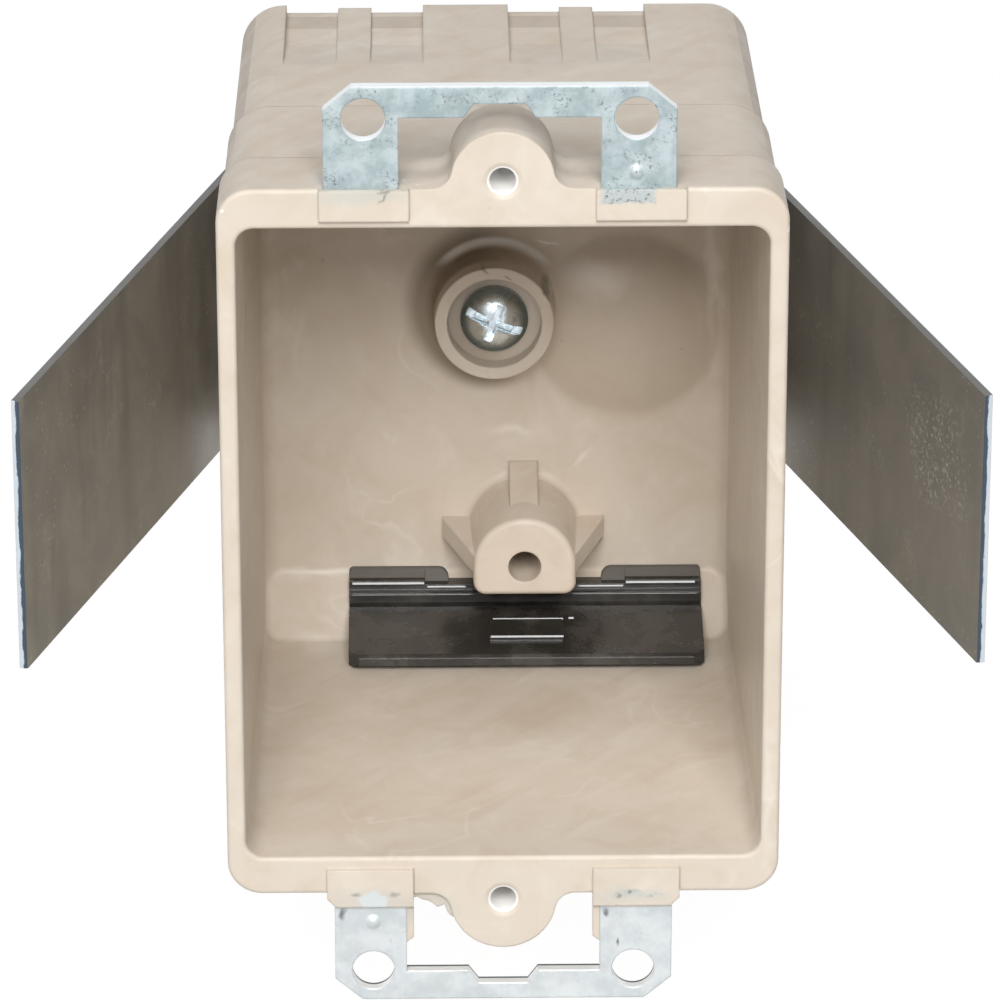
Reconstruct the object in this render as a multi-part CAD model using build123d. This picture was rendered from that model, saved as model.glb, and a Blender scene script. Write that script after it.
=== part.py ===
"""Single-gang old-work electrical box.

A moulded glass-fibre box with steel mounting ears set in its rim, a sprung wing
bracket that a long screw draws up behind the wall, and two cable clamps whose
flaps lift as a cable is pushed in through a knockout.

Frame, in millimetres: the origin lies in the plane of the front rim, midway
between the two device screw holes. +X is to the right, +Y runs into the box and
+Z is up.
"""
from build123d import *
import os
from math import cos, radians, sin, sqrt, tan

# Moulded shell
BOX_WIDTH = 60.1
BOX_HEIGHT = 81.75
BOX_DEPTH = 66.0
SIDE_WALL = 2.0
END_WALL = 4.4
BACK_WALL = 2.4
OUTER_DRAFT = 0.5
SIDE_DRAFT = 0.84
END_DRAFT = 0.4
COLLAR_DEPTH = 10.3
COLLAR_STEP = 0.3
SHOULDER_DEPTH = 28.2
SHOULDER_STEP = 0.35
COLLAR_CORNER = 3.8
BODY_CORNER = 4.8
CAVITY_CORNER = 2.0
BACK_EDGE = 1.1
RIM_EDGE = 0.45
CAVITY_BACK_FILLET = 2.3
END_CHAMFER = 6.2
CREASE_ROUND = 1.0

# Lugs for the device screws
DEVICE_PITCH = 83.34
DEVICE_BORE = 2.84
DEVICE_BORE_DEPTH = 14.0
DEVICE_MOUTH = 4.1
DEVICE_MOUTH_DEPTH = 0.3
LUG_RADIUS_TOP = 5.45
LUG_RADIUS_BOTTOM = 5.8
LUG_DEPTH = 9.2
LUG_BLEND = 2.2

# Steel ears
EAR_SHEET = 1.5
EAR_WIDTH = 36.9
EAR_LEG = 7.87
EAR_BAR = 3.4
EAR_REACH_TOP = 52.1
EAR_REACH_BOTTOM = 53.75
EAR_SHIFT_TOP = -0.3
EAR_EMBED = 2.4
EAR_CUT_X = 3.0
EAR_CUT_Z = 2.55
EAR_HOLE = 4.65
EAR_HOLE_PITCH = 28.5
EAR_HOLE_EDGE = 3.55
EAR_RELIEF_WIDTH = 5.4
EAR_RELIEF_DEPTH = 1.5
EAR_RELIEF_FLARE = 1.1
EAR_NIB_RADIUS = 0.85
EAR_NIB_HEIGHT = 0.4
EAR_NIB_DROP = 5.9

# Moulded pads that hold the ear legs in the rim
PAD_HEIGHT = 0.55
PAD_MARGIN = 0.8
PAD_DROP_TOP = 3.45
PAD_DROP_BOTTOM = 3.1
PAD_SKIRT = 1.4
PAD_SKIRT_CUT = 1.0
FLASH_WIDTH = 0.8
FLASH_LENGTH = 5.9
FLASH_CUT = 0.6

# Knockout pockets in the end walls
KNOCKOUT_WIDTH = 15.5
KNOCKOUT_PITCH = 25.15
KNOCKOUT_SHIFT = 3.4
POCKET_DEPTH = 1.2
POCKET_LEAD = 10.5
POCKET_LENGTH = 22.4
FLOW_RIB_WIDTH = 3.8
FLOW_RIB_HEIGHT = 0.6
KNOCKOUT_SKIN = 1.7
KNOCKOUT_INSET = 1.1

# Boss round the bracket screw
SCREW_X = -0.2
SCREW_Z = 3.6
BOSS_RADIUS = 6.85
BOSS_ROOT_RADIUS = 7.1
BOSS_ROOT_ROUND = 1.2
BOSS_BORE_RADIUS = 5.45
BOSS_REACH = 6.1
BOSS_SEAT = 2.3

# Shallow dome beside the screw boss
DOME_X = 15.1
DOME_Z = 1.25
DOME_RADIUS = 11.2
DOME_HEIGHT = 2.8
DOME_EDGE_ROUND = 3.0

# Ground boss
GROUND_X = 3.2
GROUND_ABOVE_CREASE = 5.77
GROUND_RADIUS = 5.9
GROUND_FOOT = 3.6
GROUND_FOOT_CORNER = 1.4
GROUND_DRAFT = 2.0
GROUND_REACH = 12.6
GROUND_BORE = 3.8
GROUND_BORE_DEPTH = 9.0
GROUND_FACE_EDGE = 0.7
GROUND_ROOT_ROUND = 0.9
GUSSET_SPREAD = 3.5
GUSSET_TIP = 1.0
GUSSET_ROUND = 0.7
GUSSET_THICKNESS = 2.3
CREST_WIDTH = 3.3
CREST_RISE = 2.25
CREST_LENGTH = 8.2

# Wing bracket
STRAP_SHEET = 0.9
STRAP_STANDOFF = 9.55
STRAP_SIDE_GAP = 0.7
STRAP_BEND = 2.6
WING_SPREAD = 104.6
WING_TIP_DEPTH = 4.5
WING_ROOT_HEIGHT = 32.9
WING_ROOT_RISE = 0.5
WING_TIP_HEIGHT = 31.2
WING_TIP_CORNER = 1.0
THREAD_COLLAR_WALL = 1.0
THREAD_COLLAR_HEIGHT = 1.6

# Bracket screw, number 8 with 32 threads to the inch
SCREW_DIAMETER = 4.16
SCREW_LENGTH = 31.75
SCREW_POINT = 0.6
SCREW_RUNNING_GAP = 0.05
SCREW_WALL_GAP = 0.25
HEAD_DIAMETER = 7.8
HEAD_HEIGHT = 2.7
HEAD_SIDE = 0.9
SLOT_WIDTH = 1.1
SLOT_DEPTH = 1.3
SLOT_ANGLE = 22.0
CROSS_SPAN = 4.6
CROSS_WIDTH = 0.95
CROSS_DEPTH = 1.9

# Cable clamps
CLAMP_OVERLAP = 0.35
CLAMP_BACK_RISE = 0.55
CLAMP_TAB_TOP = 0.7
CLAMP_SHELF_SETBACK = 1.6
CLAMP_SHELF_DROP = 0.25
CLAMP_MIDDLE_DROP = 0.45
CLAMP_NOSE_SETBACK = 2.7
CLAMP_STEP_DROP = 1.1
CLAMP_FRONT_SETBACK = 3.7
CLAMP_TAB_WIDTH = 11.7
CLAMP_TAB_CORNER = 1.2
CLAMP_END_CORNER = 0.5
CLAMP_BLOCK_WIDTH = 8.9
FLAP_GAP = 0.3
FLAP_DROP = 2.75
FLAP_LENGTH = 11.1
FLAP_ROOT_THICKNESS = 1.0
FLAP_TIP_THICKNESS = 1.65
FLAP_FALL = 1.55
FLAP_BEVEL = 0.35
FLAP_CORNER = 1.2
FLAP_BLOCK_WIDTH = 8.5
FLAP_BLOCK_LENGTH = 4.0
FLAP_BLOCK_HEIGHT = 0.45
FLAP_BLOCK_SETBACK = 3.9

# Values that follow from the ones above
HALF_WIDTH = BOX_WIDTH / 2
HALF_HEIGHT = BOX_HEIGHT / 2
DEVICE_Z = DEVICE_PITCH / 2
CAVITY_DEPTH = BOX_DEPTH - BACK_WALL
CAVITY_HALF_WIDTH = HALF_WIDTH - SIDE_WALL
CAVITY_HALF_HEIGHT = HALF_HEIGHT - END_WALL
CAVITY_BACK_HEIGHT = CAVITY_HALF_HEIGHT - CAVITY_DEPTH * tan(radians(END_DRAFT))
CREASE_Z = CAVITY_BACK_HEIGHT - END_CHAMFER
LEG_CENTRE = (EAR_WIDTH - EAR_LEG) / 2
CLAMP_WIDTH = KNOCKOUT_PITCH + KNOCKOUT_WIDTH + 2 * CLAMP_OVERLAP
GROUND_Z = -CREASE_Z + GROUND_ABOVE_CREASE
SCREW_SEAT = CAVITY_DEPTH + BOSS_SEAT - BOSS_REACH
STRAP_FRONT = BOX_DEPTH + STRAP_STANDOFF
STRAP_BACK = STRAP_FRONT + STRAP_SHEET
REACH_PAST = 1.0


def across(depth: float, x: float = 0.0, z: float = 0.0) -> Plane:
    """A plane parallel to the rim, facing into the box; its own x runs to the left."""
    return Plane(origin=(x, depth, z), x_dir=(-1, 0, 0), z_dir=(0, 1, 0))


def profile_along_x(points: list, x_low: float, x_high: float) -> Part:
    """A prism along X from a closed outline of (y, z) points."""
    outline = make_face(Polyline(*points, close=True))
    return extrude(Plane.YZ.offset(x_low) * outline, amount=x_high - x_low)


def outer_height(depth: float, step: float) -> float:
    """Half the shell's outer height at a depth, behind the given steps."""
    return HALF_HEIGHT - step - depth * tan(radians(OUTER_DRAFT))


def shell_band(start: float, end: float, step: float, corner: float) -> Part:
    """One drafted band of the shell's outside, from start to end."""
    sections = []
    for depth in (start, end):
        shrink = step + depth * tan(radians(OUTER_DRAFT))
        size = RectangleRounded(BOX_WIDTH - 2 * shrink, BOX_HEIGHT - 2 * shrink, corner)
        sections.append(across(depth) * size)
    return loft(sections, ruled=True)


def cavity_tool() -> Part:
    """The space inside the shell, with its 45 degree end chamfers and rounded back."""
    sections = []
    for depth in (-REACH_PAST, CAVITY_DEPTH):
        half_width = CAVITY_HALF_WIDTH - depth * tan(radians(SIDE_DRAFT))
        half_height = CAVITY_HALF_HEIGHT - depth * tan(radians(END_DRAFT))
        sections.append(across(depth) * RectangleRounded(2 * half_width, 2 * half_height, CAVITY_CORNER))
    space = loft(sections, ruled=True)
    near = CAVITY_DEPTH - END_CHAMFER - REACH_PAST
    far = CAVITY_DEPTH + REACH_PAST
    for side in (1, -1):
        wedge = [
            (near, side * (CAVITY_BACK_HEIGHT + REACH_PAST)),
            (far, side * (CREASE_Z - REACH_PAST)),
            (far, side * (CAVITY_BACK_HEIGHT + REACH_PAST)),
        ]
        space -= profile_along_x(wedge, -HALF_WIDTH, HALF_WIDTH)
    back_corners = [e for e in space.edges().filter_by(Axis.Z) if e.center().Y > CAVITY_DEPTH - REACH_PAST / 2]
    space = fillet(back_corners, CAVITY_BACK_FILLET)
    creases = [e for e in space.edges().filter_by(Axis.X) if e.center().Y > CAVITY_DEPTH - REACH_PAST / 2]
    return fillet(creases, CREASE_ROUND)


def moulded_shell() -> Part:
    """The open shell: collar, shoulder and body, with its edges softened."""
    both_steps = COLLAR_STEP + SHOULDER_STEP
    body = shell_band(SHOULDER_DEPTH, BOX_DEPTH, both_steps, BODY_CORNER)
    body = fillet(body.faces().sort_by(Axis.Y)[-1].edges(), BACK_EDGE)
    shell = shell_band(0.0, COLLAR_DEPTH, 0.0, COLLAR_CORNER)
    shell += shell_band(COLLAR_DEPTH, SHOULDER_DEPTH, COLLAR_STEP, BODY_CORNER)
    shell += body
    shell -= cavity_tool()
    return fillet(shell.faces().sort_by(Axis.Y)[0].edges(), RIM_EDGE)


def device_lug(side: int) -> Part:
    """The rounded lug that takes a device screw, blended into the rim."""
    radius = LUG_RADIUS_TOP if side > 0 else LUG_RADIUS_BOTTOM
    seat = HALF_HEIGHT - END_WALL / 2
    width = 4 * radius
    root = Pos(0, seat / 2 + HALF_HEIGHT / 2) * Rectangle(width, HALF_HEIGHT - seat)
    outline = root + Pos(0, DEVICE_Z) * Circle(radius)
    outline -= Pos(0, seat - radius) * Rectangle(width, 2 * radius)
    waist = [v for v in outline.vertices() if abs(v.Y - HALF_HEIGHT) < 0.01 and abs(v.X) < 1.5 * radius]
    outline = fillet(waist, LUG_BLEND)
    lug = extrude(Plane.XZ * outline, amount=-LUG_DEPTH)
    return lug if side > 0 else lug.rotate(Axis.Y, 180)


def device_bore(side: int) -> Part:
    """The bore for a device screw with its countersunk mouth."""
    bore = extrude(across(-REACH_PAST, 0, side * DEVICE_Z) * Circle(DEVICE_BORE / 2),
                   amount=DEVICE_BORE_DEPTH + REACH_PAST)
    mouth = loft([across(0, 0, side * DEVICE_Z) * Circle(DEVICE_MOUTH / 2),
                  across(DEVICE_MOUTH_DEPTH, 0, side * DEVICE_Z) * Circle(DEVICE_BORE / 2)], ruled=True)
    return bore + mouth


def leg_pads(side: int) -> Part:
    """The two raised pads moulded over the ends of one ear's legs."""
    width = EAR_LEG + 2 * PAD_MARGIN
    drop = PAD_DROP_TOP if side > 0 else PAD_DROP_BOTTOM
    inner = HALF_HEIGHT - drop
    skirt = PAD_SKIRT if side < 0 else 0.0
    pads = Part()
    for hand in (1, -1):
        outline = Pos(hand * LEG_CENTRE, inner + (drop + skirt) / 2) * Rectangle(width, drop + skirt)
        pad = extrude(Plane.XZ.offset(PAD_HEIGHT) * outline, amount=-PAD_HEIGHT - EAR_SHEET)
        if skirt:
            corner = [e for e in pad.edges().filter_by(Axis.Y)
                      if e.center().Z > HALF_HEIGHT and abs(e.center().X) > LEG_CENTRE]
            pad = chamfer(corner, PAD_SKIRT_CUT)
            leg_edge = LEG_CENTRE - EAR_LEG / 2
            rib = make_face(Polyline(
                (hand * leg_edge, HALF_HEIGHT),
                (hand * leg_edge, HALF_HEIGHT + FLASH_LENGTH),
                (hand * (leg_edge - FLASH_WIDTH), HALF_HEIGHT + FLASH_LENGTH - FLASH_CUT),
                (hand * (leg_edge - FLASH_WIDTH), HALF_HEIGHT),
                close=True))
            pad += extrude(Plane.XZ * rib, amount=-EAR_SHEET)
        pads += pad
    return pads if side > 0 else pads.rotate(Axis.Y, 180)


def knockout_centres(side: int) -> list:
    """The x places of the two knockouts in the top (1) or bottom (-1) wall."""
    return [side * (hand * KNOCKOUT_PITCH / 2 - KNOCKOUT_SHIFT) for hand in (-1, 1)]


def knockout_cut(side: int, x: float) -> Part:
    """What is cut away outside one knockout, leaving the flow rib in its middle."""
    steps = COLLAR_STEP + SHOULDER_STEP
    lead_start = BOX_DEPTH - POCKET_LENGTH
    lead_end = lead_start + POCKET_LEAD
    end = BOX_DEPTH + REACH_PAST
    top = HALF_HEIGHT + REACH_PAST

    def trench(depth: float) -> list:
        return [
            (lead_start, side * outer_height(lead_start, steps)),
            (lead_end, side * (outer_height(lead_end, steps) - depth)),
            (end, side * (outer_height(end, steps) - depth)),
            (end, side * top),
            (lead_start, side * top),
        ]

    low = x - KNOCKOUT_WIDTH / 2
    high = x + KNOCKOUT_WIDTH / 2
    cut = profile_along_x(trench(POCKET_DEPTH - FLOW_RIB_HEIGHT), low, high)
    cut += profile_along_x(trench(POCKET_DEPTH), low, x - FLOW_RIB_WIDTH / 2)
    cut += profile_along_x(trench(POCKET_DEPTH), x + FLOW_RIB_WIDTH / 2, high)
    return cut


def knockout_recess(side: int, x: float) -> Part:
    """The recess under the clamp that thins the wall behind one knockout."""
    floor = outer_height(BOX_DEPTH, COLLAR_STEP + SHOULDER_STEP) - POCKET_DEPTH - KNOCKOUT_SKIN
    start = CAVITY_DEPTH - END_CHAMFER
    outline = [
        (start, side * (CREASE_Z + END_CHAMFER / 3)),
        (start, side * floor),
        (CAVITY_DEPTH, side * floor),
        (CAVITY_DEPTH, side * (CREASE_Z + END_CHAMFER / 3)),
    ]
    half = KNOCKOUT_WIDTH / 2 - KNOCKOUT_INSET
    return profile_along_x(outline, x - half, x + half)


def turned(outline: Wire, x: float, z: float) -> Part:
    """A round solid about the depth axis through (x, z), from an outline of (radius, depth)."""
    profile = Plane(origin=(x, 0, z), x_dir=(1, 0, 0), z_dir=(0, 0, 1)) * make_face(outline)
    return revolve(profile, Axis((x, 0, z), (0, 1, 0)))


def screw_boss() -> Part:
    """The tube that the bracket screw's head sits in, without its bores."""
    front = CAVITY_DEPTH - BOSS_REACH
    behind = CAVITY_DEPTH + BACK_WALL / 2
    flare = (BOSS_ROOT_RADIUS + BOSS_ROOT_ROUND, CAVITY_DEPTH)
    root = (BOSS_ROOT_RADIUS, CAVITY_DEPTH - BOSS_ROOT_ROUND)
    outline = Polyline((flare[0], behind), (0, behind), (0, front), (BOSS_RADIUS, front), root)
    outline += RadiusArc(root, flare, BOSS_ROOT_ROUND)
    outline += Line(flare, (flare[0], behind))
    return turned(outline, SCREW_X, SCREW_Z)


def screw_bores() -> Part:
    """The head's well and the clearance hole through the back wall."""
    front = CAVITY_DEPTH - BOSS_REACH - REACH_PAST
    well = extrude(across(front, SCREW_X, SCREW_Z) * Circle(BOSS_BORE_RADIUS), amount=SCREW_SEAT - front)
    hole = extrude(across(front, SCREW_X, SCREW_Z) * Circle(SCREW_DIAMETER / 2 + SCREW_WALL_GAP),
                   amount=BOX_DEPTH - front + REACH_PAST)
    return well + hole


def dome() -> Part:
    """The shallow dome on the back wall beside the screw boss, with its soft edge."""
    ball_radius = (DOME_RADIUS ** 2 + DOME_HEIGHT ** 2) / (2 * DOME_HEIGHT)
    top = CAVITY_DEPTH - DOME_HEIGHT
    behind = CAVITY_DEPTH + BACK_WALL / 2
    reach = sqrt((ball_radius + DOME_EDGE_ROUND) ** 2 - (ball_radius - DOME_HEIGHT + DOME_EDGE_ROUND) ** 2)
    share = ball_radius / (ball_radius + DOME_EDGE_ROUND)
    seam = (reach * share, top + ball_radius - (ball_radius - DOME_HEIGHT + DOME_EDGE_ROUND) * share)
    outline = RadiusArc((0, top), seam, -ball_radius)
    outline += RadiusArc(seam, (reach, CAVITY_DEPTH), DOME_EDGE_ROUND)
    outline += Polyline((reach, CAVITY_DEPTH), (reach, behind), (0, behind), (0, top))
    return turned(outline, DOME_X, DOME_Z)


def ground_boss() -> Part:
    """The arched boss for the ground screw, with its crest and two gussets."""
    face_depth = CAVITY_DEPTH - GROUND_REACH
    foot = Pos(0, -GROUND_FOOT / 2) * Rectangle(2 * GROUND_RADIUS, GROUND_FOOT)
    foot = fillet([v for v in foot.vertices() if v.Y < -GROUND_FOOT / 2], GROUND_FOOT_CORNER)
    below = Pos(0, -GROUND_RADIUS) * Rectangle(4 * GROUND_RADIUS, 2 * GROUND_RADIUS)
    arch = Circle(GROUND_RADIUS) - below + foot
    boss = extrude(across(face_depth, GROUND_X, GROUND_Z) * arch, amount=GROUND_REACH + BACK_WALL / 2,
                   taper=-GROUND_DRAFT)
    boss = fillet(boss.faces().sort_by(Axis.Y)[0].edges(), GROUND_FACE_EDGE)
    margin = GROUND_RADIUS + 2 * GROUND_ROOT_ROUND
    plate_foot = GROUND_FOOT + 1.5 * GROUND_ROOT_ROUND
    plate = Pos(0, (margin - plate_foot) / 2) * Rectangle(2 * margin, margin + plate_foot)
    boss += extrude(across(CAVITY_DEPTH, GROUND_X, GROUND_Z) * plate, amount=BACK_WALL / 2)
    root = [e for e in boss.edges() if abs(e.center().Y - CAVITY_DEPTH) < 0.001]
    root = [e for e in root if abs(e.center().X - GROUND_X) < margin - 0.1]
    root = [e for e in root if -plate_foot + 0.1 < e.center().Z - GROUND_Z < margin - 0.1]
    boss = fillet(root, GROUND_ROOT_ROUND)
    crown = GROUND_Z + GROUND_RADIUS
    crest = [
        (CAVITY_DEPTH + BACK_WALL / 2, crown + CREST_RISE),
        (CAVITY_DEPTH - REACH_PAST / 2, crown + CREST_RISE),
        (CAVITY_DEPTH - CREST_LENGTH, crown),
        (CAVITY_DEPTH - CREST_LENGTH, GROUND_Z + GROUND_RADIUS / 2),
        (CAVITY_DEPTH + BACK_WALL / 2, GROUND_Z + GROUND_RADIUS / 2),
    ]
    boss += profile_along_x(crest, GROUND_X - CREST_WIDTH / 2, GROUND_X + CREST_WIDTH / 2)
    for hand in (1, -1):
        side = GROUND_X + hand * GROUND_RADIUS
        web = make_face(Polyline(
            (GROUND_X, face_depth + GROUND_FACE_EDGE),
            (side, face_depth + GROUND_FACE_EDGE),
            (side + hand * GUSSET_SPREAD, CAVITY_DEPTH - GUSSET_TIP),
            (side + hand * GUSSET_SPREAD, CAVITY_DEPTH + BACK_WALL / 2),
            (GROUND_X, CAVITY_DEPTH + BACK_WALL / 2),
            close=True))
        web = extrude(Plane.XY.offset(GROUND_Z - GUSSET_THICKNESS / 2) * web, amount=GUSSET_THICKNESS)
        tip = web.edges().filter_by(Axis.Z).sort_by(Axis.X)
        tip = [e for e in tip if abs(e.center().Y - CAVITY_DEPTH + GUSSET_TIP) < GUSSET_TIP / 2]
        boss += fillet(tip, GUSSET_ROUND)
    bore = extrude(across(face_depth - REACH_PAST, GROUND_X, GROUND_Z) * Circle(GROUND_BORE / 2),
                   amount=GROUND_BORE_DEPTH + REACH_PAST)
    return boss - bore


def ear_outline(reach: float) -> Sketch:
    """One ear's stamping in the plane of the rim, pointing up."""
    half = EAR_WIDTH / 2
    foot = HALF_HEIGHT - EAR_EMBED
    leg = half - EAR_LEG
    bar = reach - EAR_BAR
    relief = EAR_RELIEF_WIDTH / 2
    right = [
        (relief, bar + EAR_RELIEF_DEPTH),
        (relief + EAR_RELIEF_FLARE, bar),
        (leg, bar),
        (leg, foot),
        (half, foot),
        (half, reach - EAR_CUT_Z),
        (half - EAR_CUT_X, reach),
    ]
    left = [(-x, z) for x, z in reversed(right)]
    outline = make_face(Polyline(*right, *left, close=True))
    for hand in (1, -1):
        outline -= Pos(hand * EAR_HOLE_PITCH / 2, reach - EAR_HOLE_EDGE) * Circle(EAR_HOLE / 2)
    return outline


def mounting_ear(side: int) -> Part:
    """A steel ear: top (1) or bottom (-1), the same stamping turned half round."""
    reach = EAR_REACH_TOP if side > 0 else EAR_REACH_BOTTOM
    ear = extrude(Plane.XZ * ear_outline(reach), amount=-EAR_SHEET)
    ball_radius = (EAR_NIB_RADIUS ** 2 + EAR_NIB_HEIGHT ** 2) / (2 * EAR_NIB_HEIGHT)
    nib = Pos(EAR_HOLE_PITCH / 2, ball_radius - EAR_NIB_HEIGHT, reach - EAR_HOLE_EDGE - EAR_NIB_DROP)
    ear += nib * Sphere(ball_radius) & Pos(0, EAR_SHEET / 2 - EAR_NIB_HEIGHT, reach) * Box(
        EAR_WIDTH, EAR_SHEET, 2 * reach)
    return Pos(EAR_SHIFT_TOP, 0, 0) * ear if side > 0 else ear.rotate(Axis.Y, 180)


def wing_bracket() -> Part:
    """The folded spring strap: a base behind the box and two flared wings."""
    root_half = HALF_WIDTH + STRAP_SIDE_GAP
    tip_half = WING_SPREAD / 2
    run = STRAP_FRONT - WING_TIP_DEPTH
    length = sqrt(run ** 2 + (tip_half - root_half) ** 2)
    slope = (tip_half - root_half) / run
    shift = STRAP_SHEET * length / run

    def half_line(y_base: float, outward: float) -> list:
        corner = (root_half + outward - slope * (y_base - STRAP_FRONT), y_base)
        out_x = outward * (run / length) ** 2
        out_y = outward * slope * (run / length) ** 2
        return [corner, (tip_half + out_x, WING_TIP_DEPTH + out_y)]

    inner = half_line(STRAP_FRONT, -shift)
    outer = half_line(STRAP_BACK, 0.0)
    inner_path = [(-x, y) for x, y in reversed(inner)] + inner
    outer_path = [(-x, y) for x, y in reversed(outer)] + outer
    inner_edge = FilletPolyline(*inner_path, radius=STRAP_BEND)
    outer_edge = FilletPolyline(*outer_path, radius=STRAP_BEND + STRAP_SHEET)
    ends = Line(inner_path[0], outer_path[0]) + Line(inner_path[-1], outer_path[-1])
    strip = make_face(inner_edge + outer_edge + ends)
    blank = extrude(Plane.XY.offset(-WING_ROOT_HEIGHT) * strip, amount=2 * WING_ROOT_HEIGHT)
    front = WING_TIP_DEPTH - STRAP_SHEET
    root_top = WING_ROOT_RISE + WING_ROOT_HEIGHT / 2
    root_bottom = WING_ROOT_RISE - WING_ROOT_HEIGHT / 2
    side_view = make_face(Polyline(
        (front, WING_TIP_HEIGHT / 2),
        (STRAP_FRONT, root_top),
        (STRAP_BACK + REACH_PAST, root_top),
        (STRAP_BACK + REACH_PAST, root_bottom),
        (STRAP_FRONT, root_bottom),
        (front, -WING_TIP_HEIGHT / 2),
        close=True))
    side_view = fillet([v for v in side_view.vertices() if v.X < front + REACH_PAST], WING_TIP_CORNER)
    bracket = blank & extrude(Plane.YZ.offset(-WING_SPREAD) * side_view, amount=2 * WING_SPREAD)
    thread = SCREW_DIAMETER / 2 + SCREW_RUNNING_GAP
    collar = extrude(across(STRAP_FRONT, SCREW_X, SCREW_Z) * Circle(thread + THREAD_COLLAR_WALL),
                     amount=STRAP_SHEET + THREAD_COLLAR_HEIGHT)
    hole = extrude(across(STRAP_FRONT - REACH_PAST, SCREW_X, SCREW_Z) * Circle(thread),
                   amount=STRAP_SHEET + THREAD_COLLAR_HEIGHT + 2 * REACH_PAST)
    return bracket + collar - hole


def bracket_screw() -> Part:
    """The long pan head screw that draws the bracket, with a slot and a cross in its head."""
    head_front = SCREW_SEAT - HEAD_HEIGHT
    head = extrude(across(head_front, SCREW_X, SCREW_Z) * Circle(HEAD_DIAMETER / 2), amount=HEAD_HEIGHT)
    crown = HEAD_HEIGHT - HEAD_SIDE
    ball_radius = ((HEAD_DIAMETER / 2) ** 2 + crown ** 2) / (2 * crown)
    head &= Pos(SCREW_X, head_front + ball_radius, SCREW_Z) * Sphere(ball_radius)
    shank = extrude(across(SCREW_SEAT, SCREW_X, SCREW_Z) * Circle(SCREW_DIAMETER / 2), amount=SCREW_LENGTH)
    shank = chamfer(shank.faces().sort_by(Axis.Y)[-1].edges(), SCREW_POINT)
    face = across(head_front - REACH_PAST, SCREW_X, SCREW_Z) * Rot(0, 0, SLOT_ANGLE)
    slot = extrude(face * Rectangle(HEAD_DIAMETER + 2 * REACH_PAST, SLOT_WIDTH), amount=REACH_PAST + SLOT_DEPTH)
    cross = Rectangle(CROSS_SPAN, CROSS_WIDTH) + Rectangle(CROSS_WIDTH, CROSS_SPAN)
    recess = extrude(face * cross, amount=REACH_PAST + CROSS_DEPTH)
    return head + shank - slot - recess


def corner_cut(x: float, z: float, reach: float) -> Part:
    """What rounds the corner at (x, z) of a clamp's tab; the tab lies to the side that reach points to."""
    radius = abs(reach)
    square = Rectangle(radius, radius)
    corner = Pos(x + reach / 2, z + radius / 2) * square - Pos(x + reach, z + radius) * Circle(radius)
    front = CAVITY_DEPTH - CLAMP_SHELF_SETBACK - REACH_PAST
    return extrude(Plane.XZ.offset(-front) * corner, amount=front - CAVITY_DEPTH - REACH_PAST)


def clamp_base(side: int) -> Part:
    """The fixed bar of a cable clamp, seated on the end chamfer."""
    back = CAVITY_DEPTH
    crease = CREASE_Z
    front = back - CLAMP_FRONT_SETBACK
    nose = back - CLAMP_NOSE_SETBACK
    shelf = crease + CLAMP_SHELF_DROP
    step = shelf + CLAMP_STEP_DROP
    relief = CREASE_ROUND * tan(radians(22.5))
    foot = [(front, crease + CLAMP_FRONT_SETBACK), (front, step), (nose, step)]
    tab = [
        *foot,
        (nose, shelf),
        (back - CLAMP_SHELF_SETBACK, shelf),
        (back - CLAMP_TAB_TOP, crease - CLAMP_BACK_RISE),
        (back, crease - CLAMP_BACK_RISE),
        (back, crease - relief),
        (back - relief * sqrt(0.5), crease + relief * sqrt(0.5)),
    ]
    low_tab = [
        *foot,
        (nose, shelf + CLAMP_MIDDLE_DROP),
        (back - CLAMP_SHELF_SETBACK, shelf + CLAMP_MIDDLE_DROP),
        *tab[5:],
    ]
    middle_top = shelf + CLAMP_MIDDLE_DROP
    middle = [*foot, (nose, middle_top), (back - (middle_top - crease), middle_top)]
    half = CLAMP_WIDTH / 2
    base = profile_along_x(middle, -half, half)
    for hand in (1, -1):
        for outline, width in ((tab, CLAMP_BLOCK_WIDTH), (low_tab, CLAMP_TAB_WIDTH)):
            start, end = sorted((hand * half, hand * (half - width)))
            base += profile_along_x(outline, start, end)
        inner = half - CLAMP_TAB_WIDTH
        base -= corner_cut(hand * half, crease - CLAMP_BACK_RISE, -hand * CLAMP_END_CORNER)
        base -= corner_cut(hand * inner, crease - CLAMP_BACK_RISE, hand * CLAMP_TAB_CORNER)
    base = Pos(-KNOCKOUT_SHIFT, 0, 0) * base
    return base if side > 0 else base.rotate(Axis.Y, 180)


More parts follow.
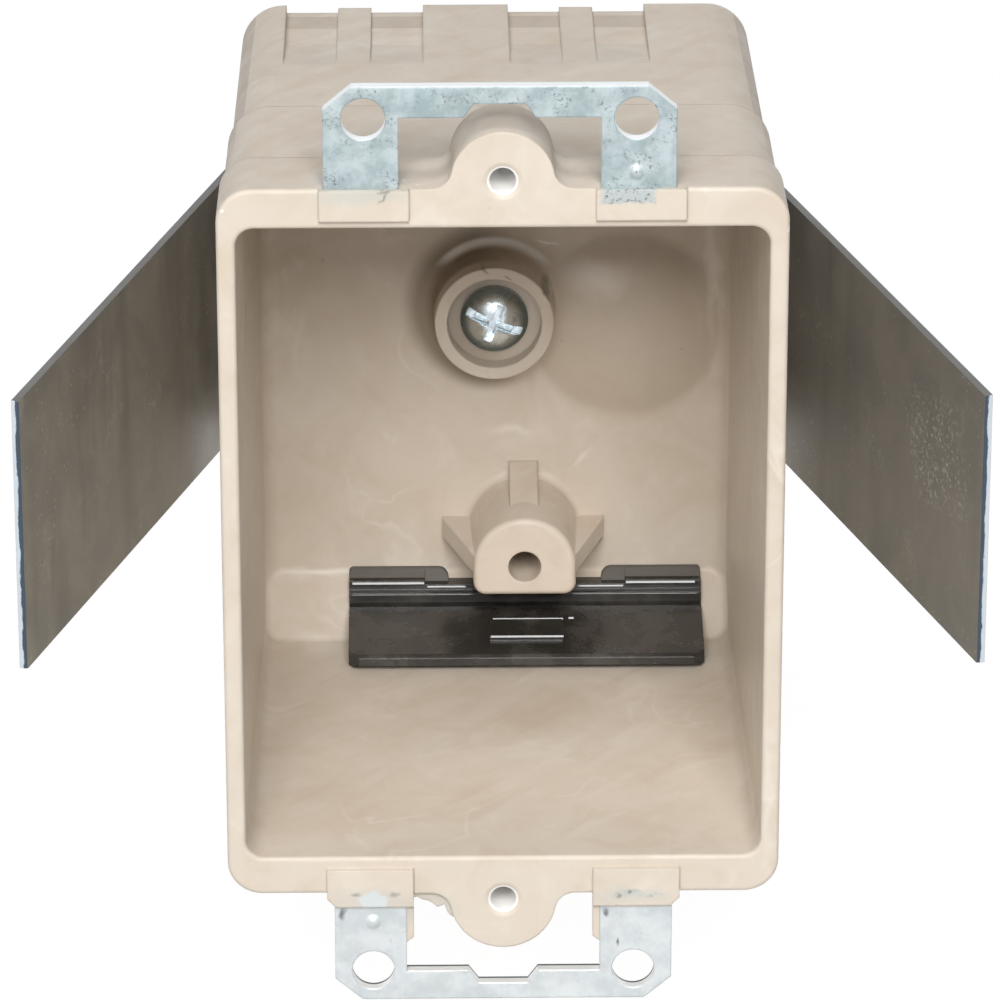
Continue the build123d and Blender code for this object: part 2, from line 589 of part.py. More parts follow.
def clamp_flap(side: int) -> Part:
    """The lifting flap of a cable clamp, hinged about its rounded root."""
    rear = CAVITY_DEPTH - CLAMP_FRONT_SETBACK - FLAP_GAP
    root_radius = FLAP_ROOT_THICKNESS / 2
    hinge = rear - root_radius
    tip = rear - FLAP_LENGTH
    root_z = CREASE_Z + FLAP_DROP
    tip_z = root_z + FLAP_FALL
    outline = [
        (hinge, root_z),
        (tip + FLAP_BEVEL, tip_z),
        (tip, tip_z + FLAP_BEVEL),
        (tip, tip_z + FLAP_TIP_THICKNESS - FLAP_BEVEL),
        (tip + 2 * FLAP_BEVEL, tip_z + FLAP_TIP_THICKNESS),
        (hinge, root_z + FLAP_ROOT_THICKNESS),
    ]
    half = CLAMP_WIDTH / 2
    root = Plane.YZ.offset(-half) * Pos(hinge, root_z + root_radius) * Circle(root_radius)
    flap = profile_along_x(outline, -half, half) + extrude(root, amount=2 * half)
    plan = make_face(Polyline(
        (-half, rear), (-half, tip + FLAP_CORNER), (-half + FLAP_CORNER, tip),
        (half - FLAP_CORNER, tip), (half, tip + FLAP_CORNER), (half, rear), close=True))
    flap &= extrude(Plane.XY.offset(root_z - END_WALL) * plan, amount=4 * END_WALL)
    block_back = rear - FLAP_BLOCK_SETBACK
    block_front = block_back - FLAP_BLOCK_LENGTH
    fall = FLAP_FALL / FLAP_LENGTH
    block = [
        (block_back, root_z + fall * FLAP_BLOCK_SETBACK - FLAP_BLOCK_HEIGHT),
        (block_front, root_z + fall * (FLAP_BLOCK_SETBACK + FLAP_BLOCK_LENGTH) - FLAP_BLOCK_HEIGHT),
        (block_front, root_z + fall * (FLAP_BLOCK_SETBACK + FLAP_BLOCK_LENGTH) + FLAP_BLOCK_HEIGHT),
        (block_back, root_z + fall * FLAP_BLOCK_SETBACK + FLAP_BLOCK_HEIGHT),
    ]
    flap += profile_along_x(block, -FLAP_BLOCK_WIDTH / 2, FLAP_BLOCK_WIDTH / 2)
    flap = Pos(-KNOCKOUT_SHIFT, 0, 0) * flap
    return flap if side > 0 else flap.rotate(Axis.Y, 180)


def box_body() -> Part:
    """The whole moulding, with the slots that the ear legs are moulded into."""
    body = moulded_shell()
    for side in (1, -1):
        body += device_lug(side)
        body += leg_pads(side)
        for x in knockout_centres(side):
            body -= knockout_cut(side, x)
            body -= knockout_recess(side, x)
    body += screw_boss()
    body += dome()
    body -= screw_bores()
    body += ground_boss()
    for side in (1, -1):
        body -= device_bore(side)
        body -= mounting_ear(side)
    return body


PARTS = {
    "box_body": box_body(),
    "top_ear": mounting_ear(1),
    "bottom_ear": mounting_ear(-1),
    "wing_bracket": wing_bracket(),
    "bracket_screw": bracket_screw(),
    "upper_clamp": clamp_base(1),
    "upper_clamp_flap": clamp_flap(1),
    "lower_clamp": clamp_base(-1),
    "lower_clamp_flap": clamp_flap(-1),
}

os.makedirs("parts", exist_ok=True)
for name, solid in PARTS.items():
    export_step(solid, f"parts/{name}.step")
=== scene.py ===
"""Looks for a single-gang electrical box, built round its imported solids.

The box is a glass-fibre moulding with galvanised ears, a dark spring wing bracket,
a bright zinc screw and two black cable clamps. Each group of pieces has a class
that dresses it; each finish has a class that makes its material.
"""
from __future__ import annotations

import logging
import math
from dataclasses import dataclass
from enum import Enum

import bmesh
import bpy
from mathutils import Matrix, Vector

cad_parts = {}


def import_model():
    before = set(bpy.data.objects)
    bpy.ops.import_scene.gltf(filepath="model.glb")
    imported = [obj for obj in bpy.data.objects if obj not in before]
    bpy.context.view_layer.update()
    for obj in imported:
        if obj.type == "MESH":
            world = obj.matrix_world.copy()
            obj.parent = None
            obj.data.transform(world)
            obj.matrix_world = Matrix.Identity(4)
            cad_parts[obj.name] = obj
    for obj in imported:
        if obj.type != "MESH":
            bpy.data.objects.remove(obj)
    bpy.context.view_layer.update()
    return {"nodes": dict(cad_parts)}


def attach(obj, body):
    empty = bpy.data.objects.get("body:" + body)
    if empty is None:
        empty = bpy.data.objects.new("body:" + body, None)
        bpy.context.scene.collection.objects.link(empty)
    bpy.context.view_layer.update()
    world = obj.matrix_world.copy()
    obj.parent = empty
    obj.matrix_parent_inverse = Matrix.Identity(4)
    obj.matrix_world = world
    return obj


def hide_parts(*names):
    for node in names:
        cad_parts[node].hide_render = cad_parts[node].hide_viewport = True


LOG = logging.getLogger("electrical_box")
MM = 0.001

Colour = tuple[float, float, float, float]
Socket = bpy.types.NodeSocket


class Slot(Enum):
    """Material slots of the record."""

    SHELL = "moulded_shell"
    EAR = "galvanised_steel"
    SPRING = "spring_steel"
    SCREW = "zinc_screw"
    CLAMP = "clamp_plastic"


class Body(Enum):
    """Moving bodies of the record that new pieces ride on."""

    BOX = "box"
    SCREW = "screw"
    LOWER_FLAP = "lower_flap"
    UPPER_FLAP = "upper_flap"


def opaque(red: float, green: float, blue: float) -> Colour:
    """Makes an opaque colour.

    Args:
        red: Linear red.
        green: Linear green.
        blue: Linear blue.

    Returns:
        The colour with full alpha.
    """
    return (red, green, blue, 1.0)


@dataclass(frozen=True)
class Mark:
    """One small mark on a surface, in millimetres and degrees."""

    x: float
    z: float
    wide: float
    high: float
    turn: float = 0.0
    y: float = 0.0
    deep: float = 4.0
    blur: float = 0.35
    strength: float = 1.0
    square: bool = False


class Graph:
    """Adds and links the nodes of one material."""

    def __init__(self, name: str) -> None:
        """Starts a material with one shader on its output.

        Args:
            name: The material's name.
        """
        self.material = bpy.data.materials.new(name)
        self.material.use_nodes = True
        self.tree = self.material.node_tree
        self.tree.nodes.clear()
        self.output = self.tree.nodes.new("ShaderNodeOutputMaterial")
        self.shader = self.tree.nodes.new("ShaderNodeBsdfPrincipled")
        self.link(self.shader.outputs["BSDF"], self.output.inputs["Surface"])
        self.place = self.tree.nodes.new("ShaderNodeTexCoord").outputs["Object"]
        parts = self.tree.nodes.new("ShaderNodeSeparateXYZ")
        self.link(self.place, parts.inputs[0])
        self.x, self.y, self.z = parts.outputs
        normal = self.tree.nodes.new("ShaderNodeNewGeometry").outputs["True Normal"]
        turned = self.tree.nodes.new("ShaderNodeVectorTransform")
        turned.vector_type = "NORMAL"
        turned.convert_from = "WORLD"
        turned.convert_to = "OBJECT"
        self.link(normal, turned.inputs[0])
        facing = self.tree.nodes.new("ShaderNodeSeparateXYZ")
        self.link(turned.outputs[0], facing.inputs[0])
        self.facing_x, self.facing_y, self.facing_z = facing.outputs

    def link(self, source: Socket, target: Socket) -> None:
        """Links two sockets.

        Args:
            source: The output socket.
            target: The input socket.
        """
        self.tree.links.new(source, target)

    def feed(self, target: Socket, value: Socket | float | Colour) -> None:
        """Links a socket to an input, or sets the input's own value.

        Args:
            target: The input socket.
            value: An output socket or a constant.
        """
        if isinstance(value, bpy.types.NodeSocket):
            self.link(value, target)
        else:
            target.default_value = value

    def math(self, operation: str, first: Socket | float, second: Socket | float = 0.0,
             clamp: bool = False) -> Socket:
        """Adds a math node.

        Args:
            operation: Its operation.
            first: Its first value.
            second: Its second value.
            clamp: Whether the result is held to 0 to 1.

        Returns:
            The result.
        """
        node = self.tree.nodes.new("ShaderNodeMath")
        node.operation = operation
        node.use_clamp = clamp
        self.feed(node.inputs[0], first)
        self.feed(node.inputs[1], second)
        return node.outputs[0]

    def times(self, first: Socket | float, second: Socket | float) -> Socket:
        """Multiplies two values.

        Args:
            first: The first value.
            second: The second value.

        Returns:
            Their product.
        """
        return self.math("MULTIPLY", first, second)

    def apart(self, first: Socket | float, second: Socket | float) -> Socket:
        """How far two values are apart.

        Args:
            first: The first value.
            second: The second value.

        Returns:
            The size of their difference.
        """
        return self.math("ABSOLUTE", self.math("SUBTRACT", first, second))

    def length(self, first: Socket, second: Socket) -> Socket:
        """The length of a flat vector.

        Args:
            first: Its first part.
            second: Its second part.

        Returns:
            The length.
        """
        squares = self.math("ADD", self.times(first, first), self.times(second, second))
        return self.math("SQRT", squares)

    def stretched(self, scale: tuple[float, float, float]) -> Socket:
        """The place on the object, scaled unevenly.

        Args:
            scale: The factor along each axis.

        Returns:
            The scaled place.
        """
        node = self.tree.nodes.new("ShaderNodeMapping")
        node.inputs["Scale"].default_value = scale
        self.link(self.place, node.inputs["Vector"])
        return node.outputs[0]

    def slanted(self, lengths: tuple[float, float, float],
                turn: tuple[float, float, float]) -> Socket:
        """The place on the object along turned axes, in units of its own along each.

        Args:
            lengths: The unit along each turned axis, in metres.
            turn: The turn of the axes, in radians.

        Returns:
            The turned and scaled place.
        """
        node = self.tree.nodes.new("ShaderNodeMapping")
        node.vector_type = "TEXTURE"
        node.inputs["Scale"].default_value = lengths
        node.inputs["Rotation"].default_value = turn
        self.link(self.place, node.inputs["Vector"])
        return node.outputs[0]

    def noise(self, scale: float, detail: float = 4.0, roughness: float = 0.55,
              distortion: float = 0.0, at: Socket | None = None) -> Socket:
        """Adds a noise texture.

        Args:
            scale: Its scale, in cycles a metre.
            detail: Its octaves.
            roughness: How much the finer octaves count.
            distortion: How far it is warped.
            at: Where it is read, or None for the place on the object.

        Returns:
            Its value.
        """
        node = self.tree.nodes.new("ShaderNodeTexNoise")
        node.inputs["Scale"].default_value = scale
        node.inputs["Detail"].default_value = detail
        node.inputs["Roughness"].default_value = roughness
        node.inputs["Distortion"].default_value = distortion
        self.link(at or self.place, node.inputs["Vector"])
        return node.outputs["Fac"]

    def cells(self, scale: float, feature: str = "F1", output: str = "Distance") -> Socket:
        """Adds a cell texture.

        Args:
            scale: Its scale, in cells a metre.
            feature: Which feature it gives.
            output: Which output is returned.

        Returns:
            Its value.
        """
        node = self.tree.nodes.new("ShaderNodeTexVoronoi")
        node.feature = feature
        node.inputs["Scale"].default_value = scale
        self.link(self.place, node.inputs["Vector"])
        return node.outputs[output]

    def span(self, value: Socket, low: float, high: float, to_low: float = 0.0,
             to_high: float = 1.0) -> Socket:
        """Maps a range of values smoothly to another, and holds it at the ends.

        Args:
            value: The value.
            low: Where the range starts.
            high: Where the range ends.
            to_low: The result at low.
            to_high: The result at high.

        Returns:
            The mapped value.
        """
        node = self.tree.nodes.new("ShaderNodeMapRange")
        node.interpolation_type = "SMOOTHSTEP"
        self.link(value, node.inputs["Value"])
        node.inputs["From Min"].default_value = low
        node.inputs["From Max"].default_value = high
        node.inputs["To Min"].default_value = to_low
        node.inputs["To Max"].default_value = to_high
        return node.outputs["Result"]

    def mix(self, share: Socket | float, first: Socket | Colour, second: Socket | Colour,
            blend: str = "MIX") -> Socket:
        """Mixes two colours.

        Args:
            share: How much of the second.
            first: The first colour.
            second: The second colour.
            blend: How they are mixed.

        Returns:
            The mixed colour.
        """
        node = self.tree.nodes.new("ShaderNodeMix")
        node.data_type = "RGBA"
        node.blend_type = blend
        self.feed(node.inputs[0], share)
        self.feed(node.inputs[6], first)
        self.feed(node.inputs[7], second)
        return node.outputs[2]

    def bump(self, height: Socket, depth: float, strength: float = 1.0,
             normal: Socket | None = None) -> Socket:
        """Adds a bump from a height.

        Args:
            height: The height, 0 to 1.
            depth: What a height of 1 is worth, in metres.
            strength: How much of it shows.
            normal: The normal under it, if any.

        Returns:
            The bumped normal.
        """
        node = self.tree.nodes.new("ShaderNodeBump")
        node.inputs["Strength"].default_value = strength
        node.inputs["Distance"].default_value = depth
        self.link(height, node.inputs["Height"])
        if normal is not None:
            self.link(normal, node.inputs["Normal"])
        return node.outputs["Normal"]

    def soft_edges(self, radius: float) -> Socket:
        """A normal that rounds every edge.

        Args:
            radius: The rounding, in metres.

        Returns:
            The rounded normal.
        """
        node = self.tree.nodes.new("ShaderNodeBevel")
        node.samples = 4
        node.inputs["Radius"].default_value = radius
        return node.outputs["Normal"]

    def warped(self, scale: float, reach: float) -> Socket:
        """The place on the object, pushed about by a noise.

        Args:
            scale: The noise's scale, in cycles a metre.
            reach: How far a place can move, in metres.

        Returns:
            The pushed place.
        """
        noise = self.tree.nodes.new("ShaderNodeTexNoise")
        noise.inputs["Scale"].default_value = scale
        noise.inputs["Detail"].default_value = 3.0
        self.link(self.place, noise.inputs["Vector"])
        centred = self.tree.nodes.new("ShaderNodeVectorMath")
        centred.operation = "SUBTRACT"
        self.link(noise.outputs["Color"], centred.inputs[0])
        centred.inputs[1].default_value = (0.5, 0.5, 0.5)
        pushed = self.tree.nodes.new("ShaderNodeVectorMath")
        pushed.operation = "MULTIPLY_ADD"
        self.link(centred.outputs[0], pushed.inputs[0])
        pushed.inputs[1].default_value = (reach * 4, reach * 4, reach * 4)
        self.link(self.place, pushed.inputs[2])
        return pushed.outputs[0]

    def near(self, mark: Mark, at: Socket | None = None) -> Socket:
        """A mask of one small mark.

        Args:
            mark: The mark.
            at: Where it is read, or None for the place on the object.

        Returns:
            The mask, strongest at the mark's middle.
        """
        node = self.tree.nodes.new("ShaderNodeMapping")
        node.vector_type = "TEXTURE"
        node.inputs["Location"].default_value = (mark.x * MM, mark.y * MM, mark.z * MM)
        node.inputs["Rotation"].default_value = (0.0, math.radians(mark.turn), 0.0)
        node.inputs["Scale"].default_value = (mark.wide * MM, mark.deep * MM, mark.high * MM)
        self.link(at or self.place, node.inputs["Vector"])
        if mark.square:
            parts = self.tree.nodes.new("ShaderNodeSeparateXYZ")
            self.link(node.outputs[0], parts.inputs[0])
            x, y, z = (self.math("ABSOLUTE", part) for part in parts.outputs)
            away = self.math("MAXIMUM", self.math("MAXIMUM", x, y), z)
        else:
            length = self.tree.nodes.new("ShaderNodeVectorMath")
            length.operation = "LENGTH"
            self.link(node.outputs[0], length.inputs[0])
            away = length.outputs["Value"]
        return self.span(away, 1.0 + mark.blur, 1.0 - mark.blur, 0.0, mark.strength)

    def marked(self, colour: Socket, marks: tuple[Mark, ...], paint: Socket | Colour,
               at: Socket | None = None) -> Socket:
        """Paints several marks over a colour.

        Args:
            colour: The colour under them.
            marks: The marks.
            paint: Their colour.
            at: Where they are read, or None for the place on the object.

        Returns:
            The painted colour.
        """
        mask: Socket | float = 0.0
        for mark in marks:
            mask = self.math("MAXIMUM", mask, self.near(mark, at))
        return self.mix(mask, colour, paint)

    def set(self, **values: Socket | float | Colour) -> None:
        """Feeds the shader's inputs, named with underscores for spaces.

        Args:
            **values: Input names and what feeds each.
        """
        for name, value in values.items():
            self.feed(self.shader.inputs[name.replace("_", " ")], value)


@dataclass(frozen=True)
class ResinFinish:
    """Cream glass-fibre moulding with faint fibre streaks and a satin skin, with painted shade
    and painted highlights.
    """

    base: Colour = opaque(0.662, 0.583, 0.492)
    cloud: Colour = opaque(0.585, 0.488, 0.382)
    # pale is the resin's lighter tone, and also the painted light on the lower side walls
    pale: Colour = opaque(0.745, 0.675, 0.585)
    grime: Colour = opaque(0.30, 0.23, 0.165)
    # near white: real scuffs, painted highlights and the painted light in the bores
    bore: Colour = opaque(0.97, 0.955, 0.93)
    metal: Colour = opaque(0.47, 0.51, 0.51)
    veil: Colour = opaque(0.53, 0.54, 0.49)
    pale_metal: Colour = opaque(0.62, 0.665, 0.68)
    shade: Colour = opaque(0.33, 0.265, 0.20)
    # painted highlight colour
    highlight_paint: Colour = opaque(0.88, 0.82, 0.74)
    smear: Colour = opaque(0.17, 0.165, 0.15)
    edge_radius: float = 0.34 * MM
    bore_z: float = 41.67 * MM
    bore_radius: float = 1.62 * MM
    bore_start: float = 0.15 * MM
    bore_end: float = 8.0 * MM
    boss_x: float = -0.2 * MM
    boss_z: float = 3.6 * MM
    arc_radius: float = 7.9 * MM
    halo_radius: float = 11.2 * MM
    ceiling: float = 38.5 * MM
    back: float = 64.5 * MM
    end_wall: float = 41.5 * MM
    streak_turn: float = math.radians(47.0)
    thin: tuple[Mark, ...] = (
        Mark(-14.8, 40.5, 4.2, 1.0, y=-0.5, blur=0.6, strength=0.6, square=True),
        Mark(-14.2, -41.3, 3.6, 1.2, y=-0.5, blur=0.6, strength=0.45),
        Mark(14.0, -41.0, 3.8, 0.9, y=-0.5, blur=0.6, strength=0.5),
        Mark(-10.6, -43.2, 0.9, 2.4, y=1.0, blur=0.5, strength=0.5),
        Mark(-7.6, -42.6, 2.6, 1.6, y=0.6, blur=0.5, strength=0.5),
    )
    bare: tuple[Mark, ...] = (
        Mark(13.15, 40.35, 2.75, 1.05, y=-0.5, blur=0.15, square=True),
        Mark(13.7, -40.75, 1.7, 0.45, y=-0.5, strength=0.5),
        Mark(16.3, -40.9, 0.9, 0.22, y=-0.5, strength=0.5),
    )
    bright: tuple[Mark, ...] = (
        Mark(-14.15, -41.6, 1.5, 1.25, y=-0.5, blur=0.15, strength=0.9),
    )
    # Painted highlights: on the dome, the crease above the chamfer, and fillets and walls inside.
    painted_highlights: tuple[Mark, ...] = (
        Mark(11.3, 7.4, 3.4, 1.7, y=61.0, deep=6.0, blur=0.9, strength=0.75),
        Mark(-20.5, -29.9, 4.5, 0.4, y=63.0, deep=2.0, blur=0.8, strength=0.45),
        Mark(-20.0, -36.5, 2.2, 1.0, y=57.0, deep=3.0, blur=0.9, strength=0.4),
        Mark(25.0, 10.0, 0.6, 9.0, y=63.0, deep=2.5, blur=0.9, strength=0.5),
        Mark(2.2, -12.2, 2.0, 0.5, y=62.0, deep=3.0, blur=0.9, strength=0.5),
        Mark(28.6, -30.0, 0.5, 9.0, y=6.0, deep=30.0, blur=0.9, strength=0.25),
    )
    smears: tuple[Mark, ...] = (
        Mark(-12.2, 40.75, 0.75, 0.14, y=-0.5, blur=0.6, strength=0.6),
        Mark(-12.45, 40.1, 0.6, 0.16, -55.0, y=-0.5, blur=0.6, strength=0.6),
        Mark(-16.1, -40.7, 0.5, 0.26, y=-0.5, blur=0.7, strength=0.5),
        Mark(-11.8, -40.8, 0.5, 0.24, y=-0.5, blur=0.7, strength=0.5),
        Mark(13.84, -40.7, 0.32, 0.2, y=-0.5, blur=0.6, strength=0.7),
        Mark(12.7, -41.0, 0.3, 0.18, y=-0.5, blur=0.6, strength=0.6),
        Mark(21.5, -1.3, 0.36, 0.3, y=58.0, strength=0.7),
        Mark(-1.28, 9.97, 0.5, 0.2, 30.0, y=57.5, strength=0.6),
        Mark(1.36, 9.22, 0.4, 0.18, 30.0, y=57.5, strength=0.6),
        Mark(5.8, 7.3, 0.4, 1.0, -30.0, y=59.0, strength=0.6),
    )
    scuffs: tuple[Mark, ...] = (
        # painted highlight on the rim's top edge beside the top ear; the marks after it are
        # scuffs
        Mark(-9.8, 41.1, 1.1, 0.14, y=-0.3, strength=0.7),
        Mark(-29.31, 38.68, 0.3, 0.25, y=0.2, strength=0.5),
        Mark(30.05, 36.12, 0.3, 0.4, y=0.2, strength=0.5),
        Mark(10.05, -15.6, 2.5, 0.5, -47.0, y=60.0, strength=0.35),
        Mark(6.0, 11.3, 2.1, 0.3, 9.0, y=60.0, strength=0.8),
    )
    # Painted shade: the dome is darkened towards the cloud colour to stand in for its shading.
    painted_dome_shade: Mark = Mark(15.3, -0.4, 11.0, 11.6, y=61.0, deep=8.0, blur=0.07, strength=0.4)

    def material(self) -> bpy.types.Material:
        """Makes the material.

        Returns:
            The material.
        """
        g = Graph("moulded_resin")
        clouds = g.noise(150, detail=6, roughness=0.6, distortion=0.7)
        patches = g.noise(48, detail=3, distortion=1.0)
        ripple = g.noise(340, detail=4, roughness=0.6)
        colour = g.mix(g.span(clouds, 0.46, 0.70, 0.0, 0.5), self.base, self.cloud)
        colour = g.mix(g.span(clouds, 0.46, 0.28, 0.0, 0.4), colour, self.pale)
        colour = g.mix(g.span(patches, 0.48, 0.78, 0.0, 0.4), colour, self.cloud)
        colour = self.streaked(g, colour)
        # painted shade on the upper inside, painted light on the lower side walls
        colour = self.painted_inner_shade_and_light(g, colour)
        specks = g.cells(420)
        speck_field = g.noise(90, detail=2)
        dots = g.times(g.span(specks, 0.14, 0.07), g.span(speck_field, 0.62, 0.72))
        colour = g.mix(g.times(dots, 0.3), colour, self.grime)
        ragged = g.warped(900, 0.3 * MM)
        broad = g.warped(260, 0.8 * MM)
        # painted shade over the dome
        colour = g.mix(g.near(self.painted_dome_shade, broad), colour, self.cloud)
        # painted highlight arc over the screw boss and painted shade beside it
        colour = self.painted_boss_highlight_and_shade(g, colour)
        # scuffs, and one painted highlight on the rim's top edge
        colour = g.marked(colour, self.scuffs, self.bore, ragged)
        colour = g.marked(colour, self.thin, self.veil, broad)
        # painted highlights
        colour = g.marked(colour, self.painted_highlights, self.highlight_paint, broad)
        pitted = g.mix(g.span(g.noise(1900, detail=4, roughness=0.75), 0.52, 0.64), self.metal,
                       self.smear)
        colour = g.marked(colour, self.bare, pitted, ragged)
        colour = g.marked(colour, self.bright, self.pale_metal, ragged)
        colour = g.marked(colour, self.smears, self.smear, ragged)
        # painted light: the bore insides are painted near white
        colour = g.mix(self.painted_bore_light_mask(g), colour, self.bore)
        grain = g.noise(2600, detail=2)
        waves = g.noise(120, detail=2, distortion=0.5)
        rounded = g.soft_edges(self.edge_radius)
        waved = g.bump(waves, 0.30 * MM, 0.5, rounded)
        rippled = g.bump(ripple, 0.05 * MM, 0.55, waved)
        normal = g.bump(grain, 0.012 * MM, 0.6, rippled)
        g.set(Base_Color=colour, Normal=normal,
              Roughness=g.span(ripple, 0.3, 0.7, 0.36, 0.52))
        g.shader.inputs["Specular IOR Level"].default_value = 0.34
        return g.material

    def painted_inner_shade_and_light(self, g: Graph, colour: Socket) -> Socket:
        """Paints shade on the upper inside and paints light on the lower side walls.

        Args:
            g: The material's graph.
            colour: The colour under it.

        Returns:
            The toned colour.
        """
        # painted shade: the upper inside is darkened towards the shade colour
        high = g.times(g.span(g.z, 12 * MM, 36 * MM, 0.0, 0.42), g.span(g.y, 12 * MM, 30 * MM))
        within = g.times(g.math("LESS_THAN", g.z, self.ceiling),
                         g.math("LESS_THAN", g.y, self.back))
        colour = g.mix(g.times(high, within), colour, self.shade)
        # painted light: the lower side walls are paled
        side = g.span(g.math("ABSOLUTE", g.facing_x), 0.8, 0.95, 0.0, 0.7)
        return g.mix(g.times(side, g.span(g.z, 16 * MM, 0.0)), colour, self.pale)

    def streaked(self, g: Graph, colour: Socket) -> Socket:
        """Adds faint wisps, and the slanting flow streaks of the two end walls.

        Args:
            g: The material's graph.
            colour: The colour under them.

        Returns:
            The streaked colour.
        """
        wavy = g.noise(70, detail=3, roughness=0.5, distortion=0.9)
        line = g.span(g.apart(wavy, 0.5), 0.035, 0.0)
        field = g.span(g.noise(60, detail=2), 0.50, 0.66)
        colour = g.mix(g.times(g.times(line, field), 0.5), colour, self.pale)
        flow = g.noise(1.0, detail=5, roughness=0.62, distortion=0.35,
                       at=g.slanted((20 * MM, 4.6 * MM, 10 * MM), (0.0, 0.0, self.streak_turn)))
        inside = g.times(g.span(g.y, 2 * MM, 6 * MM),
                         g.span(g.math("ABSOLUTE", g.z), self.end_wall,
                                self.end_wall - 0.3 * MM, 0.15, 1.0))
        walls = g.times(g.span(g.math("ABSOLUTE", g.facing_z), 0.6, 0.9), inside)
        dark = g.times(g.span(flow, 0.50, 0.70, 0.0, 0.6), walls)
        colour = g.mix(dark, colour, self.cloud)
        light = g.times(g.span(flow, 0.46, 0.30, 0.0, 0.5), walls)
        return g.mix(light, colour, self.pale)

    def painted_boss_highlight_and_shade(self, g: Graph, colour: Socket) -> Socket:
        """Paints a pale highlight arc over the screw boss's root and a shade halo beside it.

        Args:
            g: The material's graph.
            colour: The colour under them.

        Returns:
            The painted colour.
        """
        across = g.math("SUBTRACT", g.x, self.boss_x)
        above = g.math("SUBTRACT", g.z, self.boss_z)
        out = g.length(across, above)
        at_back = g.span(g.y, 59 * MM, 60.5 * MM)
        # painted shade halo beside the boss
        beside = g.times(g.span(out, self.halo_radius, 8.6 * MM, 0.0, 0.95),
                         g.span(across, 3 * MM, -3 * MM))
        colour = g.mix(g.times(beside, at_back), colour, self.shade)
        # painted highlight arc over the boss root
        ring = g.span(g.apart(out, self.arc_radius), 0.75 * MM, 0.1 * MM)
        over = g.times(g.span(above, 4.5 * MM, 6.5 * MM), at_back)
        return g.mix(g.times(ring, over), colour, self.bore)

    def painted_bore_light_mask(self, g: Graph) -> Socket:
        """A mask of the two device bores' insides, which are painted near white as painted light
        on their lit walls.

        Args:
            g: The material's graph.

        Returns:
            The mask.
        """
        off = g.math("SUBTRACT", g.math("ABSOLUTE", g.z), self.bore_z)
        inside = g.math("LESS_THAN", g.length(off, g.x), self.bore_radius)
        behind = g.math("GREATER_THAN", g.y, self.bore_start)
        before = g.math("LESS_THAN", g.y, self.bore_end)
        return g.times(inside, g.times(behind, before))


@dataclass(frozen=True)
class GalvanisedFinish:
    """Galvanised sheet: pale blue grey with spangle and dark specks, and painted light and shade
    on its sheared edges.
    """

    name: str = "galvanised_top"
    base: Colour = opaque(0.33, 0.405, 0.42)
    light: Colour = opaque(0.50, 0.57, 0.585)
    dark: Colour = opaque(0.10, 0.115, 0.125)
    # edge and edge_rear paint the sheared edges' front and rear parts: painted highlights, and on
    # the lower ear a painted dark reflection at the rear
    edge: Colour = opaque(0.90, 0.925, 0.94)
    edge_rear: Colour = opaque(0.90, 0.925, 0.94)
    spangle_share: float = 0.02
    speck_share: float = 0.7
    speck_spread: float = 0.0
    edge_radius: float = 0.32 * MM
    rear: float = 1.05 * MM
    stains: tuple[Mark, ...] = ()

    def material(self) -> bpy.types.Material:
        """Makes the material.

        Returns:
            The material.
        """
        g = Graph(self.name)
        spangle = g.cells(330, feature="SMOOTH_F1", output="Color")
        tone = g.noise(330, detail=5, roughness=0.65)
        colour = g.mix(g.span(tone, 0.36, 0.64), self.base, self.light)
        colour = g.mix(self.spangle_share, colour, spangle, blend="OVERLAY")
        field = g.noise(420, detail=4, roughness=0.7)
        pits = g.noise(2300, detail=4, roughness=0.75)
        low = 0.49 + self.speck_spread
        marks = g.times(g.span(field, low, low + 0.12), g.span(pits, 0.51, 0.60))
        colour = g.mix(g.times(marks, self.speck_share), colour, self.dark)
        if self.stains:
            colour = g.marked(colour, self.stains, self.dark, g.warped(900, 0.25 * MM))
        # painted highlight: faces that face neither front nor back take the edge colours
        sheared = g.span(g.math("ABSOLUTE", g.facing_y), 0.8, 0.4)
        cut = g.mix(g.span(g.y, self.rear, self.rear + 0.2 * MM), self.edge, self.edge_rear)
        colour = g.mix(sheared, colour, cut)
        normal = g.bump(pits, 0.05 * MM, 0.5, g.soft_edges(self.edge_radius))
        g.set(Base_Color=colour, Normal=normal,
              Roughness=g.span(tone, 0.3, 0.7, 0.40, 0.56))
        g.shader.inputs["Metallic"].default_value = 0.4
        return g.material


